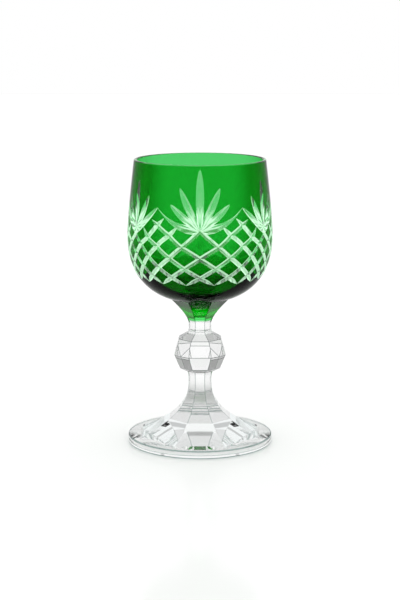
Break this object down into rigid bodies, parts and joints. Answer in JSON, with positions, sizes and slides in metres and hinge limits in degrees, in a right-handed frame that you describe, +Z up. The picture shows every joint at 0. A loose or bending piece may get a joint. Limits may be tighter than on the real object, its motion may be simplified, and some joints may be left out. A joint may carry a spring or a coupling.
{
  "type": "stemmed water glass",
  "caption": "Stemmed water glass of clear crystal with a green overlay cut in fans above a lattice, an eight-sided stem with a faceted knop, and a round foot.",
  "frame": {"origin": "middle of the foot's underside, on the table", "axes": "+Z up along the stem to the rim, -Y through the middle blade of one of the three wide fans"},
  "size_m": [0.0764, 0.0764, 0.1507],
  "materials": {
    "clear_crystal": "acid-polished cut crystal",
    "green_overlay": "polished emerald green overlay, cut through to clear",
    "green_crystal": "polished solid green crystal"
  },
  "bodies": {
    "root": {"foot": "clear_crystal", "shaft": "clear_crystal", "faceted_knop": "clear_crystal", "neck": "clear_crystal", "collar": "green_crystal", "bowl_casing": "green_overlay", "crystal_bowl": "clear_crystal"}
  },
  "joints": []
}
